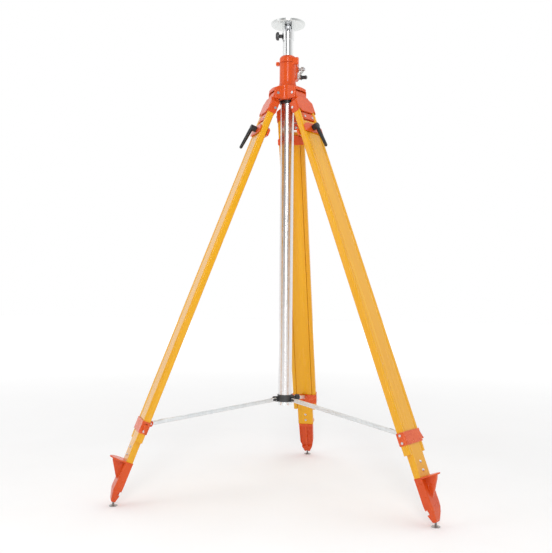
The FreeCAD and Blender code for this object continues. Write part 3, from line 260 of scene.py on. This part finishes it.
def strut_metal(name, azimuth):
    low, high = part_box("strut_" + name)
    run = math.hypot(high.x - low.x, high.y - low.y)
    pitch = math.atan2(high.z - low.z, run)
    return drawn_metal("strut_aluminium_" + name, (0.80, 0.83, 0.84), 0.36,
                       (math.pi / 2 - pitch, 0, -math.radians(azimuth)))


def dress(obj, material):
    obj.data.materials.clear()
    obj.data.materials.append(material)


# ---------------------------------------------------------------- pieces from meshes
def add_object(name, mesh, body, material):
    obj = bpy.data.objects.new(name, mesh)
    bpy.context.scene.collection.objects.link(obj)
    dress(obj, material)
    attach(obj, body)
    return obj


def shade(mesh, angle=None):
    mesh.polygons.foreach_set("use_smooth", [True] * len(mesh.polygons))
    if angle is not None:
        mesh.set_sharp_from_angle(angle=angle)


def softened(node, voxel, rounds, keep):
    """A copy of a CAD node's skin with its corners rounded the way a casting's are."""
    source = NODES[node].data.copy()
    source.materials.clear()
    worker = bpy.data.objects.new(node + "_worker", source)
    bpy.context.scene.collection.objects.link(worker)
    weld = worker.modifiers.new("weld", "WELD")
    weld.merge_threshold = WELD_DISTANCE
    remesh = worker.modifiers.new("skin", "REMESH")
    remesh.mode = "VOXEL"
    remesh.voxel_size = voxel
    smooth = worker.modifiers.new("soften", "SMOOTH")
    smooth.iterations = rounds
    smooth.factor = 0.5
    fewer = worker.modifiers.new("fewer", "DECIMATE")
    fewer.ratio = keep
    mesh = bpy.data.meshes.new_from_object(worker.evaluated_get(bpy.context.evaluated_depsgraph_get()))
    bpy.data.objects.remove(worker)
    shade(mesh)
    mesh.name = node + "_skin"
    return mesh


def casting(node, body, voxel=0.0011, rounds=6, material=None, keep=0.4):
    """A softened casting that stands for its CAD node."""
    mesh = softened(node, voxel, rounds, keep)
    obj = add_object(node + "_casting", mesh, body, material or ORANGE)
    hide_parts(node)
    return obj


# ---------------------------------------------------------------- dressing the CAD nodes
for node in NODES.values():
    shade(node.data, SHARP_EDGE)
for node in ("head_casting", "gear_housing", "top_cap", "clamp_ring"):
    dress(NODES[node], ORANGE)
dress(NODES["outer_tube"], TUBE)
for node in ("inner_column", "head_yoke", "tube_end_cap"):
    dress(NODES[node], COLUMN)
dress(NODES["head_plate"], PLATE)
for node in ("hinge_pins", "housing_screws", "crank_screw", "fixing_screw"):
    dress(NODES[node], STEEL)
for node in ("column_rack", "pinion_shaft", "crank_arm"):
    dress(NODES[node], DULL_STEEL)
dress(NODES["pinion_bushes"], BRONZE)
for node in ("tube_collar", "head_knob", "crank_grip", "hub_knob", "spreader_hub", "column_shoe",
             "guide_bush"):
    dress(NODES[node], BLACK)
for name, azimuth in LEGS.items():
    for node in ("leg_bracket_", "rail_spacer_", "leg_band_", "clamp_plates_", "foot_casting_"):
        dress(NODES[node + name], ORANGE)
    for node in ("leg_rails_", "leg_plank_"):
        dress(NODES[node + name], YELLOW[name])
    for node in ("leg_screws_", "foot_bolts_"):
        dress(NODES[node + name], STEEL)
    dress(NODES["foot_pad_" + name], DULL_STEEL)
    dress(NODES["clamp_lever_" + name], BLACK)
    dress(NODES["strut_" + name], strut_metal(name, azimuth))

casting("head_casting", "frame")
casting("gear_housing", "frame", rounds=5)
casting("top_cap", "frame", rounds=4)
casting("clamp_ring", "clamp_ring", voxel=0.0008, rounds=4)
for name in LEGS:
    casting("leg_bracket_" + name, "leg_" + name, rounds=4)
    casting("rail_spacer_" + name, "leg_" + name, rounds=2)
    casting("clamp_plates_" + name, "lower_" + name, rounds=4)
    casting("foot_casting_" + name, "lower_" + name, rounds=5)
    casting("clamp_lever_" + name, "lever_" + name, voxel=0.0009, rounds=4,
            material=BLACK)


# ---------------------------------------------------------------- floor, light and camera
def paper(colour, rough):
    """Pale backdrop paper with painted light: it glows more strongly away from the object, so that it has
    no horizon.
    """
    g = Graph("floor_paper")
    tone = g.ramp(g.noise(3, 3), [(0.3, tuple(c * 0.985 for c in colour)), (0.7, colour)])
    far = g.add("ShaderNodeVectorMath", operation="LENGTH")
    g.link(g.place, far.inputs[0])
    # painted light: the floor emits light that grows stronger further from the middle
    painted_floor_glow = g.range(far.outputs["Value"], 0.0, 0.42, (1.2, 7.0))
    g.link(painted_floor_glow, g.shader.inputs["Emission Strength"])
    g.set(Roughness=rough, Emission_Color=(1.0, 1.0, 1.0, 1.0), Specular_IOR_Level=0.2)
    return g.out(tone)


def make_floor():
    mesh = bpy.data.meshes.new("floor")
    edge = 14.0
    corners = [(-edge, -edge, 0), (edge, -edge, 0), (edge, edge, 0), (-edge, edge, 0)]
    mesh.from_pydata(corners, [], [(0, 1, 2, 3)])
    floor = bpy.data.objects.new("floor", mesh)
    bpy.context.scene.collection.objects.link(floor)
    dress(floor, paper((0.98, 0.98, 0.98), 0.9))


def add_area(name, place, aim, size, power, colour=(1, 1, 1)):
    light = bpy.data.lights.new(name, "AREA")
    light.shape = "RECTANGLE"
    light.size, light.size_y = size
    light.energy = power
    light.color = colour
    obj = bpy.data.objects.new(name, light)
    obj.location = place
    obj.rotation_euler = (Vector(aim) - Vector(place)).to_track_quat("-Z", "Y").to_euler()
    bpy.context.scene.collection.objects.link(obj)


def make_lights():
    world = bpy.data.worlds.new("studio")
    world.use_nodes = True
    tree = world.node_tree
    place = tree.nodes.new("ShaderNodeTexCoord")
    split = tree.nodes.new("ShaderNodeSeparateXYZ")
    strength = tree.nodes.new("ShaderNodeMapRange")
    tree.links.new(place.outputs["Generated"], split.inputs["Vector"])
    tree.links.new(split.outputs["Y"], strength.inputs["Value"])
    for socket, value in (("From Min", -0.9), ("From Max", 0.35), ("To Min", 0.30), ("To Max", 1.0)):
        strength.inputs[socket].default_value = value
    tree.links.new(strength.outputs["Result"], tree.nodes["Background"].inputs["Strength"])
    tree.nodes["Background"].inputs["Color"].default_value = (1.0, 1.0, 1.0, 1.0)
    bpy.context.scene.world = world
    bpy.context.scene.view_settings.view_transform = "Standard"
    middle = (0, 0, 0.95)
    add_area("key", (0.5, -3.3, 1.9), middle, (0.5, 2.6), 38)
    add_area("left", (-2.6, -1.6, 2.0), middle, (1.2, 2.4), 9)
    add_area("over", (0.3, -0.3, 4.2), middle, (2.4, 2.4), 22)


CAMERA_DISTANCE = 2.778
CAMERA_HEIGHT = 0.7575
CAMERA_TURN = math.radians(9.62)
CAMERA_YAW = -0.0135
CAMERA_PITCH = -0.0157
CAMERA_ROLL = 0.0091
FOCAL_SHARE = 738.8 / 553


def make_camera():
    spin = Matrix.Rotation(CAMERA_TURN, 3, "Z")
    ahead = spin @ Vector((math.sin(CAMERA_YAW) * math.cos(CAMERA_PITCH),
                           math.cos(CAMERA_YAW) * math.cos(CAMERA_PITCH), -math.sin(CAMERA_PITCH)))
    right = Vector((ahead.y, -ahead.x, 0)).normalized()
    up = right.cross(ahead)
    across = math.cos(CAMERA_ROLL) * right + math.sin(CAMERA_ROLL) * up
    above = -math.sin(CAMERA_ROLL) * right + math.cos(CAMERA_ROLL) * up
    data = bpy.data.cameras.new("camera")
    data.sensor_width = 36.0
    data.lens = data.sensor_width * FOCAL_SHARE
    data.clip_start = 0.05
    camera = bpy.data.objects.new("camera", data)
    turn = Matrix((across, above, -ahead)).transposed().to_4x4()
    place = spin @ Vector((0, -CAMERA_DISTANCE, CAMERA_HEIGHT))
    camera.matrix_world = Matrix.Translation(place) @ turn
    bpy.context.scene.collection.objects.link(camera)
    bpy.context.scene.camera = camera


make_floor()
make_lights()
make_camera()
